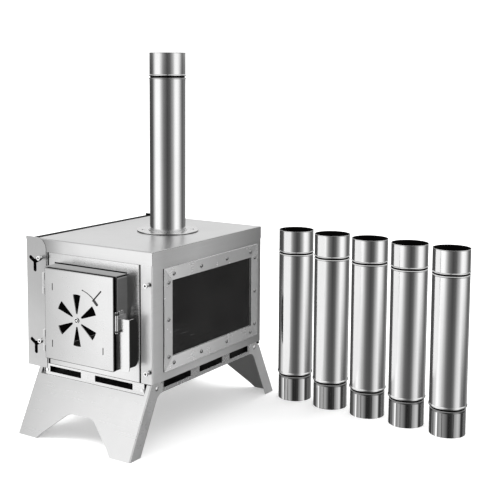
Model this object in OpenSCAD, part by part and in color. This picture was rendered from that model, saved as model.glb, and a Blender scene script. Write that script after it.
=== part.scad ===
// Tent wood stove: folded stainless sheet body on two folding legs, with a
// hinged door and rotary air damper, a screwed side window, a hanging side
// shield and a flue of plug-together pipe sections. Millimetres, +Z up.
// The door faces -Y and the window +X. The floor is z = 0.

/* [Body] */
// Width of the body across its side panels
body_w = 234; // [220:1:260]
// Depth of the body, front to back
body_d = 314; // [300:1:360]
// Height of the body from its lower edge to the top plate
body_h = 204; // [200:1:240]
// Height of the body's lower edge above the floor
body_z = 106; // [104:1:112]
// Sheet thickness of the body
sheet_t = 1.2; // [1:0.1:1.5]
// Height of the bent flange along the front and back of the top cover
top_flange = 21; // [16:1:26]
// Width of the side panels' bent front and rear flanges
side_flange = 21.8; // [18:0.1:24]
// Width of the open seam between flange and front panel
seam_gap = 3.2; // [1:0.1:4]

/* [Base tray] */
// Height of the tray face below the body's lower edge
tray_h = 20; // [18:1:22]
// Width of the tray's front and rear faces
tray_face_w = 202; // [190:1:206]
// Height of the air slots
air_slot_h = 10.5; // [6:0.5:12]

/* [Door] */
// Centre of the door across the front
door_x = -1; // [-3:1:3]
// Width of the door
door_w = 140; // [130:1:142]
// Height of the door
door_h = 146; // [136:1:148]
// Height of the door's centre above the floor
door_z = 199; // [196:1:202]
// How far the neck reaches past the door on the hinge side
neck_side = 8; // [7.6:0.1:9]
// Depth of the neck between front panel and door
neck_d = 23.8; // [18:0.1:26]
// Depth of the door pan
pan_d = 6.8; // [6.6:0.1:10]

/* [Air damper] */
// Outer radius of the six air openings
petal_r = 41; // [34:0.5:43]
// Radius of the damper disc behind the door plate
disc_r = 54; // [52:0.5:58]
// Turn from open to shut, in degrees
damper_turn = 30; // [28:1:32]

/* [Window] */
// Length of the window frame, front to back
win_l = 272; // [250:1:274]
// Height of the window frame
win_h = 161; // [150:1:166]
// Width of each window frame bar
bar_w = 20.5; // [20:0.5:24]
// Thickness of the window frame bars
bar_t = 2.5; // [1.5:0.1:4]

/* [Legs] */
// Height of the leg pivots above the floor
pivot_z = 96.5; // [95:0.5:98]
// Distance of the leg pivots from the middle of the body
pivot_y = 142; // [138:1:144]
// How far a foot stands outside its pivot
foot_out = 68; // [60:1:72]
// Width of a leg over its side flanges
leg_w = 227; // [226:0.5:229]

/* [Flue] */
// Outside diameter of the pipe sections
pipe_d = 60; // [58:0.5:62]
// Length of one loose pipe section
pipe_l = 302; // [280:1:330]
// Length of the section mounted on the collar
pipe_mounted_l = 298; // [280:1:330]
// Wall of the pipe sections
pipe_t = 0.8; // [0.6:0.1:1]
// Flue centre across the body
flue_x = 12; // [0:1:16]
// Flue centre front to back
flue_y = 25; // [15:1:35]
// Outside diameter of the collar plate
collar_d = 104; // [96:1:110]

/* [Hidden] */
$fn = 48;

hw = body_w/2;              // half width
hd = body_d/2;              // half depth
top_z = body_z + body_h;    // top plate
t = sheet_t;
tray_z = body_z - tray_h;   // underside of the tray
tray_x = hw - t - 3.6;      // half width over the tray's sides
e = 0.01;

// loose sections stand in a row beside the stove
row_x = 161.4; row_y = 204.2; row_dx = 73.2; row_dy = -5.2;
pr = pipe_d/2;

// the kit's footprint, centred on the origin
sh_x = hw + 21.5;           // outer face of the side shield
bead = 0.9;                 // how far the beads stand out of the pipes
x_lo = -sh_x - 0.2; x_hi = row_x + 4*row_dx + pr + bead;
y_lo = -(pivot_y + foot_out); y_hi = row_y + pr + bead;
cx = (x_lo + x_hi)/2; cy = (y_lo + y_hi)/2;

module placed() { translate([-cx, -cy, 0]) children(); }

// box given by two corners
module bx(a, b) { translate(a) cube(b - a); }

// rounded rectangle in X and Z, centred on the door, extruded along +Y from y0
module rrect(w, h, r) {
    difference() {
        square([w, h], center = true);
        for (sx = [-1, 1], sy = [-1, 1])
            translate([sx*(w/2 - r), sy*(h/2 - r)])
                difference() {
                    translate([sx > 0 ? 0 : -r - 1, sy > 0 ? 0 : -r - 1]) square([r + 1, r + 1]);
                    circle(r = r, $fn = 48);
                }
    }
}
module door_slab(w, h, r, y0, y1)
    translate([door_x, y1, door_z]) rotate([90, 0, 0]) linear_extrude(y1 - y0) rrect(w, h, r);

module xcyl(r, x0, x1, y, z) translate([x0, y, z]) rotate([0, 90, 0]) cylinder(r = r, h = x1 - x0);
module ycyl(r, y0, y1, x, z) translate([x, y1, z]) rotate([90, 0, 0]) cylinder(r = r, h = y1 - y0);
module zcyl(r, z0, z1, x, y) translate([x, y, z0]) cylinder(r = r, h = z1 - z0);

// Cutters that round an outer bend: an edge along X, Y or Z at the given
// corner, with the body lying towards the signs a and b, radius r
module bend_2d(a, b, r) difference() {
    translate([a > 0 ? -1 : -r, b > 0 ? -1 : -r]) square(r + 1);
    translate([a*r, b*r]) circle(r = r, $fn = 48);
}
module bend_x(x0, x1, y, z, a, b, r) translate([x0, y, z]) rotate([90, 0, 90]) linear_extrude(x1 - x0) bend_2d(a, b, r);
module bend_y(y0, y1, x, z, a, b, r) translate([x, y1, z]) rotate([90, 0, 0]) linear_extrude(y1 - y0) bend_2d(a, b, r);
module bend_z(z0, z1, x, y, a, b, r) translate([x, y, z0]) linear_extrude(z1 - z0) bend_2d(a, b, r);
br = 2;    // outer bend radius of the sheets

// ---------------------------------------------------------------- body
module top_cover() color([0.80, 0.80, 0.81]) placed() difference() {
    union() {
        bx([-hw, -hd, top_z - t], [hw, hd, top_z]);
        bx([-hw, -hd, top_z - top_flange], [hw, -hd + t, top_z]);
        bx([-hw, hd - t, top_z - top_flange], [hw, hd, top_z]);
    }
    zcyl(sp_r - 1, top_z - 5, top_z + 5, flue_x, flue_y);
    for (f = [-1, 1]) bend_x(-hw - 1, hw + 1, f*hd, top_z, -f, -1, br);
    for (s = [-1, 1]) bend_y(-hd - 1, hd + 1, s*hw, top_z, -s, -1, t - 0.1);
}

module side_sheet(s) {
    z1 = top_z - t;
    bx([s > 0 ? hw - t : -hw, -hd + t, body_z], [s > 0 ? hw : -hw + t, hd - t, z1]);
    for (f = [-1, 1])
        bx([s > 0 ? hw - side_flange : -hw, f > 0 ? hd - t : -hd, body_z],
           [s > 0 ? hw : -hw + side_flange, f > 0 ? hd : -hd + t, top_z - top_flange]);
}
// shoulder bolts: x, z, and which end of the body they stand on
bolt_xl = hw - 12.5; bolt_xr = hw - 5.1;
bolt_left = [279.3, 143.3];
bolt_right = [260.3, 125.3];
bolts = concat([for (z = bolt_left, f = [-1, 1]) [-bolt_xl, z, f]], [for (z = bolt_right) [bolt_xr, z, -1]]);
shank_r = 2.2; nut_r = 3.6;
module bolt_holes() for (b = bolts)
    ycyl(shank_r, b[2] > 0 ? hd - t - 1 : -hd - 1, b[2] > 0 ? hd + 1 : -hd + t + 1, b[0], b[1]);

module left_side_panel() color([0.72, 0.72, 0.73]) placed() difference() {
    side_sheet(-1);
    bolt_holes();
    for (f = [-1, 1]) bend_z(body_z - 1, top_z - top_flange, -hw, f*hd, 1, -f, br);
}

// window position
win_y0 = -129.5; win_y1 = win_y0 + win_l;
win_z0 = 119.8; win_z1 = win_z0 + win_h;
scr_in = 10.5;
scr_y = [for (i = [0:3]) win_y0 + 24 + i*(win_l - 48)/3];
scr_z = [for (i = [0:2]) win_z0 + 22.5 + i*(win_h - 45)/2];
scr_top = [for (y = scr_y) [y, win_z1 - scr_in]];
scr_bot = [for (y = scr_y) [y, win_z0 + scr_in]];
scr_fr = [for (z = scr_z) [win_y0 + scr_in, z]];
scr_re = [for (z = scr_z) [win_y1 - scr_in, z]];
scr_all = concat(scr_top, scr_bot, scr_fr, scr_re);

module right_side_panel() color([0.72, 0.72, 0.73]) placed() difference() {
    side_sheet(1);
    bolt_holes();
    for (f = [-1, 1]) bend_z(body_z - 1, top_z - top_flange, hw, f*hd, -1, -f, br);
    bx([hw - 10, win_y0 + bar_w, win_z0 + bar_w], [hw + 10, win_y1 - bar_w, win_z1 - bar_w]);
    for (p = scr_all) xcyl(1.6, hw - 6, hw + 6, p[0], p[1]);
}

module front_panel() color([0.84, 0.84, 0.84]) placed() difference() {
    union() {
        w = hw - side_flange - seam_gap;
        bx([-w, -hd, body_z], [w, -hd + t, top_z - top_flange - 0.4]);
        // returns behind the flanges, welded to them
        for (s = [-1, 1]) {
            bx([s > 0 ? w - t : -w, -hd, body_z], [s > 0 ? w : -w + t, -hd + 7, top_z - top_flange - 0.4]);
            bx([s > 0 ? w - t : -w - 12, -hd + 7 - t, body_z], [s > 0 ? w + 12 : -w + t, -hd + 7, top_z - top_flange - 0.4]);
        }
    }
    // the neck passes through, with an open seam above it
    bx([nk0, -hd - 3, nz0], [nk1, -hd + 3, nz1 + 2.4]);
    for (s = [-1, 1]) bend_z(body_z - 1, top_z, s*(hw - side_flange - seam_gap), -hd, -s, 1, t - 0.2);
}

module back_panel() color([0.72, 0.72, 0.73]) placed()
    difference() {
        bx([-hw + t, hd - 2*t, body_z], [hw - t, hd - t, top_z - t]);
        for (z = bolt_left) ycyl(nut_r + 0.3, hd - 2*t - 1, hd, -bolt_xl, z);
    }

// ---------------------------------------------------------------- base tray
slots_front = [[-92, -26], [3, 78.5]];
slots_side = [[-122.7, -49.2], [-25, 42.2], [64.5, 122.7]];
module base_tray() color([0.80, 0.80, 0.80]) placed() difference() {
    union() {
        bx([-tray_x, -hd, tray_z], [tray_x, hd, tray_z + t]);
        for (s = [-1, 1]) {
            bx([s > 0 ? tray_x - t : -tray_x, -hd, tray_z], [s > 0 ? tray_x : -tray_x + t, hd, body_z + 10]);
            bx([s > 0 ? tray_x - t : -hw + t, -hd + 8, body_z + 8.8], [s > 0 ? hw - t : -tray_x + t, hd - 8, body_z + 10]);
            bx([-tray_face_w/2, s > 0 ? hd - t : -hd, tray_z], [tray_face_w/2, s > 0 ? hd : -hd + t, body_z - 0.5]);
            // inner wall behind the faces, up into the body
            bx([-tray_x, s > 0 ? hd - 9 : -hd + 9 - t, body_z - 4], [tray_x, s > 0 ? hd - 9 + t : -hd + 9, body_z + 10]);
        }
        for (s = [-1, 1])
            bx([-tray_face_w/2 + 2, s > 0 ? hd - 9 : -hd, body_z - 4], [tray_face_w/2 - 2, s > 0 ? hd : -hd + 9, body_z - 4 + t]);
    }
    for (f = [-1, 1]) bend_x(-hw, hw, f*hd, tray_z, -f, 1, 1.6);
    for (s = [-1, 1]) bend_y(-hd - 1, hd + 1, s*tray_x, tray_z, -s, 1, 1.6);
    // corner notches that clear the legs
    for (sx = [-1, 1], sy = [-1, 1])
        bx([sx > 0 ? tray_face_w/2 : -hw, sy > 0 ? hd - 8 : -hd - 1, tray_z - 1],
           [sx > 0 ? hw : -tray_face_w/2, sy > 0 ? hd + 1 : -hd + 8, body_z + 11]);
    // air slots
    for (q = slots_front, f = [-1, 1])
        bx([q[0], f > 0 ? hd - 3 : -hd - 1, body_z - 3.4 - air_slot_h], [q[1], f > 0 ? hd + 1 : -hd + 3, body_z - 4]);
    for (q = slots_side, s = [-1, 1])
        bx([s > 0 ? tray_x - 3 : -tray_x - 1, q[0], body_z - 2.6 - air_slot_h], [s > 0 ? tray_x + 1 : -tray_x + 3, q[1], body_z - 2.6]);
    // leg pivot holes and rivet holes
    for (sx = [-1, 1], sy = [-1, 1]) {
        xcyl(2.5, sx > 0 ? tray_x - 3 : -tray_x - 2, sx > 0 ? tray_x + 2 : -tray_x + 3, sy*pivot_y, pivot_z);
        ycyl(1.6, sy > 0 ? hd - 3 : -hd - 1, sy > 0 ? hd + 1 : -hd + 3, sx*97.5, body_z - 11);
    }
}
module tray_rivets() color([0.88, 0.88, 0.88]) placed()
    for (sx = [-1, 1], sy = [-1, 1]) {
        ycyl(1.6, sy > 0 ? hd - t - 1.2 : -hd - 0.6, sy > 0 ? hd + 0.6 : -hd + t + 1.2, sx*97.5, body_z - 11);
        translate([sx*97.5, sy*(hd + 0.8), body_z - 11]) rotate([90, 0, 0]) cylinder(r = 2.7, h = 1.6, center = true);
        ycyl(2.5, sy > 0 ? hd - t - 1.8 : -hd + t, sy > 0 ? hd - t : -hd + t + 1.8, sx*97.5, body_z - 11);
    }

module grate() color([0.35, 0.33, 0.31]) placed() difference() {
    union() {
        bx([-100, -138, body_z + 10], [100, 138, body_z + 12]);
        for (s = [-1, 1]) bx([s > 0 ? 98 : -100, -138, body_z + 10], [s > 0 ? 100 : -98, 138, body_z + 20]);
        for (s = [-1, 1]) bx([s > 0 ? 92 : -tray_x + t, -120, body_z + 8.4], [s > 0 ? tray_x - t : -92, 120, body_z + 10]);
    }
    for (i = [-4:4], j = [-1:1])
        bx([i*20 - 3.5, j*84 - 34, body_z + 5], [i*20 + 3.5, j*84 + 34, body_z + 15]);
}
module baffle_plate() color([0.42, 0.40, 0.38]) placed() {
    bx([-hw + t + 0.3, -40, 268], [hw - 12, hd - 2*t - 0.3, 269.5]);
    bx([-hw + t + 0.3, -41.5, 260], [hw - 12, -40, 269.5]);
    // hangers under the top cover
    for (x = [-90, 90]) bx([x - 0.6, 20, 269.5], [x + 0.6, 60, top_z - t]);
}

// ---------------------------------------------------------------- door
neck_y = -hd - neck_d;             // front edge of the neck
pan_back = neck_y - 2.6;           // rear edge of the door pan
pan_y = pan_back - pan_d;          // door face
nk0 = door_x - door_w/2 - neck_side; nk1 = door_x + door_w/2;   // neck sides
nz0 = door_z - door_h/2; nz1 = door_z + door_h/2;               // neck bottom and top
hx = door_x - door_w/2 - 4;        // hinge axis
hy = neck_y - 3.7;
hinge_z = [door_z + 46, door_z - 46];
hp_r = 1.5; hk_r = 3;

module door_neck() color([0.55, 0.55, 0.56]) placed() difference() {
    union() {
        difference() {
            bx([nk0, neck_y, nz0], [nk1, -hd + t, nz1]);
            difference() {
                bx([nk0 + t, neck_y - 1, nz0 + t], [nk1 - t, -hd + t + 1, nz1 - t]);
                bend_y(neck_y - 1, -hd + 3, nk1 - t, nz1 - t, -1, -1, 4);
                bend_y(neck_y - 1, -hd + 3, nk1 - t, nz0 + t, -1, 1, 4);
                bend_y(neck_y - 1, -hd + 3, nk0 + t, nz1 - t, 1, -1, 3);
                bend_y(neck_y - 1, -hd + 3, nk0 + t, nz0 + t, 1, 1, 3);
            }
        }
        // rim that the door's gasket closes on
        bx([nk0 + 0.1, neck_y, nz0 + 0.1], [nk1 - 0.1, neck_y + t, nz1 - 0.1]);
    }
    bx([nk0 + neck_side + 9, neck_y - 1, nz0 + 9], [nk1 - 9, neck_y + t + 1, nz1 - 9]);
    bend_y(neck_y - 1, -hd - 0.01, nk1, nz1, -1, -1, 5);
    bend_y(neck_y - 1, -hd - 0.01, nk1, nz0, -1, 1, 5);
    bend_y(neck_y - 1, -hd - 0.01, nk0, nz1, 1, -1, 3);
    bend_y(neck_y - 1, -hd - 0.01, nk0, nz0, 1, 1, 3);
    for (f = [[nk0, 1], [nk1, -1]]) bend_z(nz0 - 1, nz1 + 1, f[0], neck_y, f[1], 1, 1);
    for (f = [[nz0, 1], [nz1, -1]]) bend_x(nk0 - 1, nk1 + 1, neck_y, f[0], 1, f[1], 1);
    for (z = hinge_z, d = [-12, 12]) xcyl(1.5, nk0 - 1, nk0 + t + 1, neck_y + 10, z + d);
    for (y = keep_y) xcyl(1.7, nk1 - t - 1, nk1 + 1, y, keep_z);
}
module knuckle(z0, z1) difference() {
    zcyl(hk_r, z0, z1, hx, hy);
    zcyl(hp_r + 0.05, z0 - 1, z1 + 1, hx, hy);
}
// leaf plates lie on the neck's and the door's left sides
module neck_hinge_leaf() color([0.6, 0.6, 0.6]) placed()
    for (z = hinge_z) {
        difference() {
            union() {
                bx([nk0 - 1, hy - 0.2, z - 17], [nk0, neck_y + 15, z + 17]);
                for (k = [[-17, -6.2], [6.2, 17]]) {
                    zcyl(hk_r, z + k[0], z + k[1], hx, hy);
                    bx([nk0 - 1, hy - 0.6, z + k[0]], [hx, hy + 0.6, z + k[1]]);
                }
                for (d = [-12, 12]) {
                    xcyl(1.5, nk0 - 1, nk0 + t + 0.6, neck_y + 10, z + d);
                    xcyl(2.4, nk0 - 1.9, nk0 - 0.9, neck_y + 10, z + d);
                }
            }
            zcyl(hp_r, z - 18, z + 18, hx, hy);
            // room for the door's knuckle
            zcyl(hk_r + 0.4, z - 6.19, z + 6.19, hx, hy);
        }
    }
module hinge_pin() color([0.85, 0.85, 0.85]) placed()
    for (z = hinge_z) {
        zcyl(hp_r, z - 17.6, z + 17.6, hx, hy);
        zcyl(2.4, z + 17, z + 18.2, hx, hy);
        zcyl(2.4, z - 18.2, z - 17, hx, hy);
    }
module door_hinge_leaf() color([0.6, 0.6, 0.6]) placed()
    for (z = hinge_z) {
        difference() {
            union() {
                zcyl(hk_r, z - 6, z + 6, hx, hy);
                bx([hx, hy - 0.6, z - 6], [nk0 + neck_side, hy + 0.6, z + 6]);
                bx([nk0 + neck_side - 0.6, hy - 4.4, z - 6], [nk0 + neck_side, hy + 0.7, z + 6]);
            }
            zcyl(hp_r + 0.05, z - 13, z + 13, hx, hy);
        }
    }

dpx = door_x - 3; dpz = door_z - 3;   // damper centre
module petal(r0, r1, w0, w1) {
    // wedge with a rounded inner end and a curved outer edge
    intersection() {
        union() {
            polygon([[r0, -w0], [r1 + 3, -w1*(r1 + 3)/r1], [r1 + 3, w1*(r1 + 3)/r1], [r0, w0]]);
            translate([r0, 0]) circle(r = w0, $fn = 24);
        }
        circle(r = r1, $fn = 96);
    }
}
module petals(grow)
    for (k = [0:5]) rotate(30 + 60*k) petal(11.5, petal_r + grow, 1.7 + grow, 8 + grow);
module arc_slot(r, w, a0, a1) {
    n = 12;
    polygon(concat(
        [for (i = [0:n]) let (a = a0 + (a1 - a0)*i/n) [(r + w/2)*cos(a), (r + w/2)*sin(a)]],
        [for (i = [n:-1:0]) let (a = a0 + (a1 - a0)*i/n) [(r - w/2)*cos(a), (r - w/2)*sin(a)]]));
    for (a = [a0, a1]) translate([r*cos(a), r*sin(a)]) circle(r = w/2 - 0.05);
}
lever_a = 46; lever_r = 50.5; slot_w = 2.1;
module at_damper(y1, h) translate([dpx, y1, dpz]) rotate([90, 0, 0]) linear_extrude(h) children();
tabs = [[-54.2, 243], [-55.2, 152.3], [48, 155.5]];

module door_pan() color([0.86, 0.86, 0.86]) placed() difference() {
    union() {
        difference() {
            door_slab(door_w, door_h, 3.5, pan_y, pan_back);
            door_slab(door_w - 2*t, door_h - 2*t, 2.4, pan_y + t, pan_back + 1);
        }
    }
    for (s = [-1, 1]) {
        bend_z(door_z - door_h/2 - 1, door_z + door_h/2 + 1, door_x + s*door_w/2, pan_y, -s, 1, br);
        bend_x(door_x - door_w/2 - 1, door_x + door_w/2 + 1, pan_y, door_z + s*door_h/2, 1, -s, br);
    }
    at_damper(pan_y + 3, 6) petals(0);
    at_damper(pan_y + 3, 6) arc_slot(lever_r, slot_w, lever_a - 0.6, lever_a + damper_turn + 0.6);
    ycyl(2.5, pan_y - 1, pan_y + 3, dpx, dpz);
    for (p = tabs) bx([p[0] - 0.9, pan_y - 1, p[1] - 5.7], [p[0] + 0.9, pan_y + 3, p[1] + 5.7]);
    for (z = [lz0 + 5, lz1 - 5]) xcyl(1.6, rx - t - 1, rx + 1, pan_y + 4.2, z);
}
// damper parts: a rivet fixed in the plate, a disc turning on it
module damper_rivet() color([0.8, 0.8, 0.8]) placed() {
    ycyl(2.5, pan_y - 0.5, pan_y + 3.4, dpx, dpz);
    // round head with a ring groove
    difference() {
        ycyl(4.2, pan_y - 1.4, pan_y, dpx, dpz);
        difference() {
            ycyl(3.3, pan_y - 2, pan_y - 0.6, dpx, dpz);
            ycyl(1.7, pan_y - 3, pan_y, dpx, dpz);
        }
    }
    ycyl(4.2, pan_y + 2.7, pan_y + 3.7, dpx, dpz);
}
module damper_disc() color([0.7, 0.7, 0.7]) placed() difference() {
    at_damper(pan_y + 2.4, 1) circle(r = disc_r, $fn = 96);
    at_damper(pan_y + 3, 3) petals(0.6);
    ycyl(2.55, pan_y - 1, pan_y + 5, dpx, dpz);
    ycyl(0.85, pan_y - 1, pan_y + 5, dpx + lever_r*cos(lever_a), dpz + lever_r*sin(lever_a));
}
module damper_lever() color([0.4, 0.4, 0.4]) placed()
    translate([dpx, 0, dpz]) rotate([0, -lever_a, 0]) {
        // shank through the arc slot, with its peened end behind the disc
        ycyl(0.8, pan_y - 1.5, pan_y + 3.4, lever_r, 0);
        ycyl(2.4, pan_y + 2.4, pan_y + 3.4, lever_r, 0);
        // foot on the door and the radial rod
        bx([lever_r - 2, pan_y - 1.5, -8.7], [lever_r + 2, pan_y - 0.3, 1.6]);
        ycyl(2, pan_y - 1.5, pan_y - 0.3, lever_r, -8.7);
        xcyl(1.1, lever_r - 1, lever_r + 22.5, pan_y - 2.4, 0);
    }
module door_liner() color([0.5, 0.5, 0.5]) placed() difference() {
    union() {
        door_slab(door_w - 16, door_h - 16, 6, pan_back - 1.4, pan_back - 0.4);
        for (p = tabs) bx([p[0] - 0.6, pan_y - 0.2, p[1] - 5.3], [p[0] + 0.6, pan_back - 0.4, p[1] + 5.3]);
    }
    ycyl(46, pan_y, pan_back + 2, dpx, dpz);
}
module door_gasket() color([0.12, 0.12, 0.12]) placed() difference() {
    door_slab(door_w - 2*t - 0.2, door_h - 2*t - 0.2, 3, pan_back - 3.4, neck_y - 0.3);
    door_slab(door_w - 2*t - 9, door_h - 2*t - 9, 2, pan_back - 6, pan_back + 4);
    door_slab(door_w - 15.4, door_h - 15.4, 6, pan_back - 1.6, pan_back + 4);
}

// ---------------------------------------------------------------- latch
rx = door_x + door_w/2;               // door's right face
lx = rx + 3.1; ly = pan_y + 3.6;      // latch axis
lz0 = 190; lz1 = 213.6;
kn0 = 2.5; kn1 = 4;                   // lower and upper knuckle
module latch_bracket() color([0.3, 0.3, 0.3]) placed() difference() {
    union() {
        bx([rx, pan_y + 1, lz0 - 3.4], [rx + 0.6, pan_y + 6.4, lz1 + 5]);
        for (k = [[lz0 - 0.2 - kn0, lz0 - 0.2], [lz1 + 0.2, lz1 + 0.2 + kn1]]) {
            zcyl(2.6, k[0], k[1], lx, ly);
            bx([rx, ly - 1, k[0]], [lx, ly + 1, k[1]]);
        }
        for (z = [lz0 + 5, lz1 - 5]) xcyl(1.6, rx - t, rx + 0.4, pan_y + 4.2, z);
    }
    zcyl(1.5, lz0 - 8, lz1 + 8, lx, ly);
    // room for the handle's sleeve
    zcyl(2.85, lz0 - 0.2, lz1 + 0.2, lx, ly);
}
module latch_pin() color([0.85, 0.85, 0.85]) placed() {
    zcyl(1.5, lz0 - kn0 - 1, lz1 + kn1 + 1, lx, ly);
    zcyl(2.2, lz1 + kn1 + 0.2, lz1 + kn1 + 1.4, lx, ly);
    zcyl(2.2, lz0 - kn0 - 1.4, lz0 - kn0 - 0.2, lx, ly);
}
hand_y = pan_y + 9;                   // plane of the handle plate
module latch_handle() color([0.8, 0.8, 0.8]) placed() difference() {
    union() {
        zcyl(2.5, lz0, lz1, lx, ly);
        // arm back from the sleeve, then the plate facing forward
        bx([lx + 0.6, ly, lz0], [lx + 2.1, hand_y + 1.5, lz1 - 5.6]);
        bx([lx + 0.6, hand_y, 128], [lx + 19.5, hand_y + 1.5, lz1 - 5.6]);
        // flange turned back along the plate's free edge
        bx([lx + 18.3, hand_y, 134], [lx + 19.5, -hd - 2.6, lz1 - 5.6]);
        // tongue along the neck's side
        bx([lx + 0.6, ly, lz1 - 7.6], [lx + 2.1, ly + 19.4, lz1]);
    }
    zcyl(1.55, lz0 - 1, lz1 + 1, lx, ly);
    bend_x(lx + 17, lx + 21, -hd - 2.6, lz1 - 5.6, -1, -1, 12);
    bend_x(lx + 17, lx + 21, -hd - 2.6, 134, -1, 1, 8);
    // rounded lower corners of the handle
    for (s = [0, 1]) difference() {
        bx([lx + 0.6 + s*18.9 - (s > 0 ? 4 : 0.1), hand_y - 1, 127], [lx + 0.6 + s*18.9 + (s > 0 ? 0.1 : 4), hand_y + 3, 132]);
        ycyl(4, hand_y - 2, hand_y + 4, lx + 0.6 + (s > 0 ? 14.9 : 4), 132);
    }
}
keep_y = [ly + 10, ly + 16.4]; keep_z = lz1 + 2.6;
module latch_keeper() color([0.6, 0.6, 0.6]) placed() {
    bx([rx, ly + 8, lz1 - 7], [rx + 0.6, ly + 21, lz1]);
    bx([rx, ly + 7.4, lz1 - 0.4], [rx + 0.6, ly + 19, lz1 + 5.6]);
    // ramp that the tongue closes on
    translate([0, 0, lz1 - 7]) linear_extrude(6)
        polygon([[rx, ly + 8.6], [rx + 3.3, ly + 14], [rx + 3.3, ly + 17.4], [rx, ly + 20.4]]);
    for (y = keep_y) {
        xcyl(1.7, rx - t, rx + 0.4, y, keep_z);
        xcyl(2.2, rx + 0.4, rx + 1.5, y, keep_z);
    }
}

// ---------------------------------------------------------------- window
module window_bar(p) color([0.68, 0.68, 0.69]) placed() difference() {
    translate([hw, 0, 0]) rotate([90, 0, 90]) linear_extrude(bar_t) polygon(p);
    for (q = scr_all) xcyl(1.6, hw - 1, hw + bar_t + 1, q[0], q[1]);
}
g = 0.15;   // half of the mitre gap
wi0 = win_y0 + bar_w; wi1 = win_y1 - bar_w; wj0 = win_z0 + bar_w; wj1 = win_z1 - bar_w;
module window_bar_top() window_bar([[win_y0 + 2*g, win_z1], [win_y1 - 2*g, win_z1], [wi1 - 2*g, wj1], [wi0 + 2*g, wj1]]);
module window_bar_bottom() window_bar([[win_y0 + 2*g, win_z0], [win_y1 - 2*g, win_z0], [wi1 - 2*g, wj0], [wi0 + 2*g, wj0]]);
module window_bar_front() window_bar([[win_y0, win_z0 + g], [wi0, wj0 + g], [wi0, wj1 - g], [win_y0, win_z1 - g]]);
module window_bar_rear() window_bar([[win_y1, win_z0 + g], [wi1, wj0 + g], [wi1, wj1 - g], [win_y1, win_z1 - g]]);
gl_x1 = hw - t - 0.8; gl_t = 4;
module window_gasket() color([0.15, 0.15, 0.15]) placed() difference() {
    bx([gl_x1, wi0 - 5, wj0 - 5], [hw - t, wi1 + 5, wj1 + 5]);
    bx([gl_x1 - 1, wi0, wj0], [hw, wi1, wj1]);
}
module window_glass() color([0.1, 0.1, 0.1, 0.5]) placed()
    bx([gl_x1 - gl_t, wi0 - 5, wj0 - 5], [gl_x1, wi1 + 5, wj1 + 5]);
module window_retainer() color([0.4, 0.4, 0.4]) placed() difference() {
    union() {
        bx([gl_x1 - gl_t - 1.5, win_y0 + 3, win_z0 + 3], [gl_x1 - gl_t, win_y1 - 3, win_z1 - 3]);
        // rim that holds the glass edge
        bx([gl_x1 - gl_t, win_y0 + 3, win_z0 + 3], [hw - t, win_y1 - 3, win_z1 - 3]);
    }
    bx([gl_x1 - gl_t, wi0 - 5.3, wj0 - 5.3], [hw, wi1 + 5.3, wj1 + 5.3]);
    bx([gl_x1 - gl_t - 3, wi0 + 1, wj0 + 1], [hw, wi1 - 1, wj1 - 1]);
    for (q = scr_all) xcyl(1.6, gl_x1 - gl_t - 4, hw + 1, q[0], q[1]);
}
module window_screws() color([0.75, 0.75, 0.75]) placed()
    for (q = scr_all) {
        xcyl(1.6, gl_x1 - gl_t - 5, hw + bar_t, q[0], q[1]);
        // pan head with a cross recess
        difference() {
            translate([hw + bar_t, q[0], q[1]]) rotate([0, 90, 0]) rotate_extrude($fn = 32)
                polygon([[0, 0], [3.1, 0], [3.1, 0.8], [2.7, 1.6], [1.6, 2.1], [0, 2.2]]);
            for (r = [0, 90]) translate([hw + bar_t + 1.2, q[0], q[1]]) rotate([r, 0, 0]) bx([0, -1.6, -0.3], [3, 1.6, 0.3]);
        }
    }
module window_nuts() color([0.6, 0.6, 0.6]) placed()
    for (q = scr_all) difference() {
        translate([gl_x1 - gl_t - 4, q[0], q[1]]) rotate([0, 90, 0]) cylinder(r = 3.3, h = 2.5, $fn = 6);
        xcyl(1.6, gl_x1 - gl_t - 6, hw, q[0], q[1]);
    }

// ---------------------------------------------------------------- flue
sp_r = pr - pipe_t - 0.4;   // spigot that the first section sits over
module flue_collar() color([0.78, 0.78, 0.78]) placed() difference() {
    union() {
        // plate with a small recess under its rim
        zcyl(collar_d/2 - 1.2, top_z, top_z + 0.9, flue_x, flue_y);
        zcyl(collar_d/2, top_z + 0.8, top_z + 2, flue_x, flue_y);
        zcyl(pr + 3, top_z, top_z + 3.4, flue_x, flue_y);
    }
    zcyl(sp_r, top_z - 20, top_z + 40, flue_x, flue_y);
    // groove that the first section stands in
    zcyl(pr + 0.8, top_z + 1.5, top_z + 5, flue_x, flue_y);
    // T-shaped punched slots that its tabs are bent from
    for (a = [0:90:270]) translate([flue_x, flue_y, 0]) rotate(a + 38) {
        bx([42.5, -4, top_z - 1], [43.9, 4, top_z + 3]);
        bx([38, -0.7, top_z - 1], [43, 0.7, top_z + 3]);
    }
}
module flue_spigot() color([0.7, 0.7, 0.7]) placed() difference() {
    zcyl(sp_r, top_z, top_z + 32, flue_x, flue_y);
    zcyl(sp_r - 1, top_z - 1, top_z + 40, flue_x, flue_y);
}

// cuff, grooved double bead, body; plain lower end
cuff = 36;
function outer_profile(z0, l) = [
    [pr, z0], [pr, l - cuff - 7.6], [pr + bead, l - cuff - 6.8],
    [pr + bead, l - cuff - 5.8], [pr - 0.9, l - cuff - 4.9], [pr - 0.9, l - cuff - 2.9],
    [pr + bead, l - cuff - 2], [pr + bead, l - cuff - 1], [pr, l - cuff - 0.2], [pr, l - 1],
    [pr + 0.4, l - 0.6], [pr + 0.4, l]];
function shifted(p, d) = [for (q = p) [q[0] - d, q[1]]];
function rev(p) = [for (i = [len(p) - 1:-1:0]) p[i]];
module pipe_plain(l) rotate_extrude($fn = 96)
    polygon(concat(outer_profile(0, l), rev(shifted(outer_profile(0, l), pipe_t))));
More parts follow.
